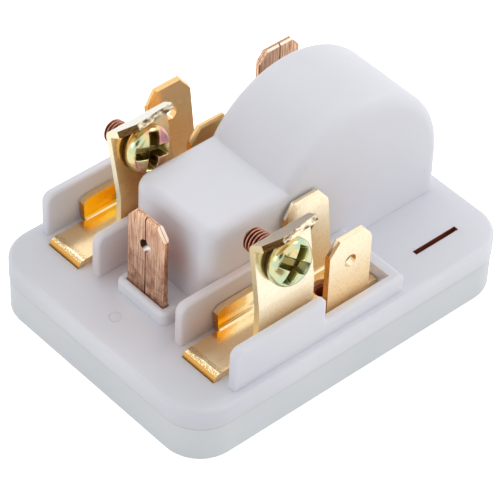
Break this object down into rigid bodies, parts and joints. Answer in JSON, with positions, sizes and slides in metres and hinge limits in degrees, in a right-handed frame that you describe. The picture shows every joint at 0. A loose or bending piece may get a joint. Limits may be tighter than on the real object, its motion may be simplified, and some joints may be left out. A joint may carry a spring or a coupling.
{
  "type": "compressor start relay",
  "caption": "Plug-on PTC start relay for a refrigerator compressor: white moulded housing with dome, brass screw and push-on terminals in open trays.",
  "frame": {"origin": "centre of the flat bottom face that lies on the compressor's terminal plate", "axes": "+X along the long side towards the dome, +Y towards the neutral tray, +Z away from the compressor"},
  "size_m": [0.0484, 0.036, 0.0267],
  "materials": {
    "housing_resin": "fine satin",
    "cover_resin": "fine satin",
    "brass_sheet": "bright rolled",
    "yellow_zinc": "yellow passivated zinc",
    "copper_sheet": "rolled copper",
    "ptc_ceramic": "fired, silvered faces",
    "spring_steel": "bright spring",
    "bus_brass": "stamped",
    "sleeve_bronze": "rolled spring bronze"
  },
  "bodies": {
    "root": {"upper_housing": "housing_resin", "bottom_cover": "cover_resin", "line_terminal": "brass_sheet", "neutral_terminal": "brass_sheet", "line_screw": "yellow_zinc", "neutral_screw": "yellow_zinc", "line_washer": "yellow_zinc", "neutral_washer": "yellow_zinc", "front_blade": "copper_sheet", "rear_blade": "copper_sheet", "slot_contact": "copper_sheet", "ptc_disc": "ptc_ceramic", "run_contact": "spring_steel", "start_contact": "spring_steel", "run_bus": "bus_brass", "start_bus": "bus_brass", "common_bus": "bus_brass", "run_sleeve": "sleeve_bronze", "start_sleeve": "sleeve_bronze", "common_sleeve": "sleeve_bronze"}
  },
  "joints": []
}
